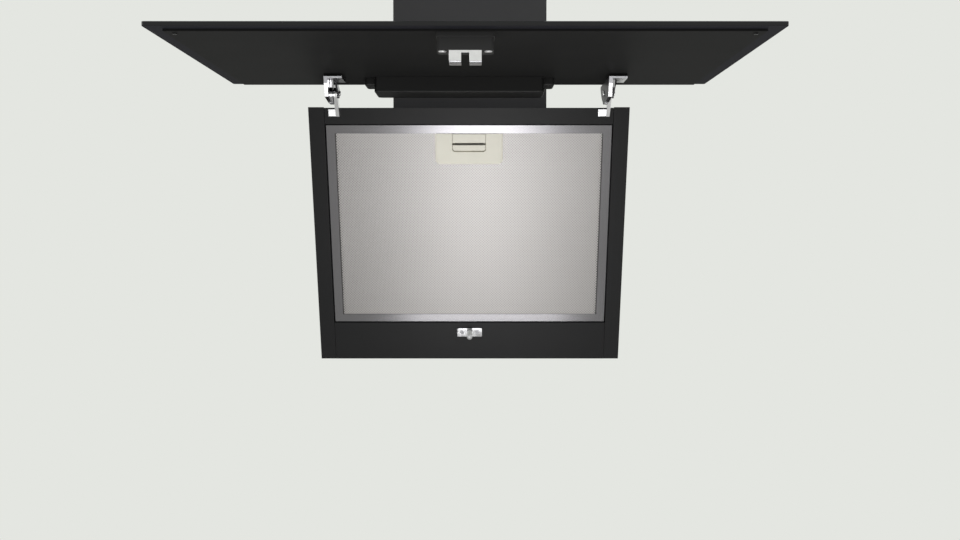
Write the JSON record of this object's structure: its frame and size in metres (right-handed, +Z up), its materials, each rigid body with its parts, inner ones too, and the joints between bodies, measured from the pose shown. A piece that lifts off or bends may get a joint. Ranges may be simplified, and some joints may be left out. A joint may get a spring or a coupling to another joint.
{
  "type": "angled range hood",
  "caption": "Wall-mounted angled range hood: leaning body with a telescopic chimney, a glass flap on side hinges swung open, and a latched grease filter behind it.",
  "frame": {"origin": "middle of the four wall bolts, on the wall plane", "axes": "+Y into the wall, +Z up along the chimney, +X to the right as seen from the front"},
  "size_m": [0.79, 0.9202, 0.9295],
  "materials": {
    "body_paint": "satin black powder coat",
    "chimney_paint": "satin black powder coat",
    "flap_glass": "polished black, ground edges",
    "panel_paint": "satin black",
    "hinge_zinc": "zinc plated",
    "bright_zinc": "bright zinc plated",
    "black_screw": "black oxide",
    "control_plastic": "fine moulded texture",
    "catch_plastic": "satin moulded",
    "ivory_plastic": "satin moulded",
    "filter_aluminium": "brushed",
    "filter_mesh": "fine expanded mesh",
    "galvanised": "galvanised",
    "fan_plastic": "moulded",
    "collar_plastic": "moulded",
    "motor_paint": "semi-gloss",
    "steel": "ground",
    "electrics_plastic": "moulded",
    "board_laminate": "solder mask",
    "lamp_metal": "satin",
    "lamp_glass": "frosted",
    "pad_rubber": "matte"
  },
  "bodies": {
    "hood": {"back_panel": "body_paint", "side_panel_left": "body_paint", "side_panel_right": "body_paint", "top_panel": "body_paint", "bottom_panel": "body_paint", "front_top_bar": "body_paint", "front_bottom_bar": "body_paint", "filter_rail_left": "galvanised", "filter_rail_right": "galvanised", "chimney_lower": "chimney_paint", "chimney_feet": "galvanised", "outlet_collar": "collar_plastic", "damper_rod": "steel", "scroll_left": "galvanised", "scroll_right": "galvanised", "inlet_ring_left": "fan_plastic", "inlet_ring_right": "fan_plastic", "motor": "motor_paint", "motor_mount": "galvanised", "electronics_box": "electrics_plastic", "electronics_lid": "electrics_plastic", "supply_board": "board_laminate", "cable_gland": "collar_plastic", "lamp_housings": "lamp_metal", "lamp_lenses": "lamp_glass", "strike_plate": "bright_zinc", "strike_stud": "bright_zinc", "strike_screws": "bright_zinc", "hinge_arm_left": "hinge_zinc", "hinge_arm_right": "hinge_zinc", "hinge_pin_left": "hinge_zinc", "hinge_pin_right": "hinge_zinc"},
    "chimney_top": {"chimney_upper": "chimney_paint", "chimney_wall_bracket": "galvanised"},
    "fan": {"impeller": "fan_plastic", "motor_shaft": "steel"},
    "damper_front": {"damper_flap_front": "collar_plastic"},
    "damper_rear": {"damper_flap_rear": "collar_plastic"},
    "flap": {"glass_panel": "flap_glass", "inner_panel": "panel_paint", "bonding_strips": "pad_rubber", "panel_screws": "black_screw", "control_housing": "control_plastic", "control_board": "board_laminate", "touch_strip": "electrics_plastic", "catch_block": "catch_plastic", "catch_fork": "bright_zinc", "catch_screws": "bright_zinc", "hinge_bracket_left": "hinge_zinc", "hinge_bracket_right": "hinge_zinc", "hinge_spacers": "pad_rubber", "hinge_screws": "hinge_zinc"},
    "filter": {"filter_frame": "filter_aluminium", "filter_mesh_front": "filter_mesh", "filter_core": "filter_mesh", "filter_mesh_back": "filter_mesh", "filter_handle": "ivory_plastic"},
    "latch": {"filter_latch": "ivory_plastic"}
  },
  "joints": [
    {"name": "flap_swing", "type": "hinge", "parent": "hood", "child": "flap", "pos_m": [0, -0.4445, 0.228], "axis": [-1, 0, 0], "range_deg": [-110.4, 0]},
    {"name": "filter_tilt", "type": "hinge", "parent": "hood", "child": "filter", "pos_m": [0, -0.277, -0.15362], "axis": [1, 0, 0], "range_deg": [0, 30]},
    {"name": "latch_slide", "type": "slide", "parent": "filter", "child": "latch", "axis": [0, 0.3486, -0.9373], "range_m": [0, 0.003], "stiffness_N_per_m": 600, "springref_m": -0.003},
    {"name": "fan_spin", "type": "hinge", "parent": "hood", "child": "fan", "pos_m": [0, -0.1855, -0.03], "axis": [1, 0, 0], "continuous": true},
    {"name": "damper_front_lift", "type": "hinge", "parent": "hood", "child": "damper_front", "pos_m": [0, -0.113, 0.2273], "axis": [-1, 0, 0], "range_deg": [0, 80]},
    {"name": "damper_rear_lift", "type": "hinge", "parent": "hood", "child": "damper_rear", "pos_m": [0, -0.113, 0.2273], "axis": [1, 0, 0], "range_deg": [0, 80]},
    {"name": "chimney_slide", "type": "slide", "parent": "hood", "child": "chimney_top", "axis": [0, 0, 1], "range_m": [0, 0.27]}
  ]
}
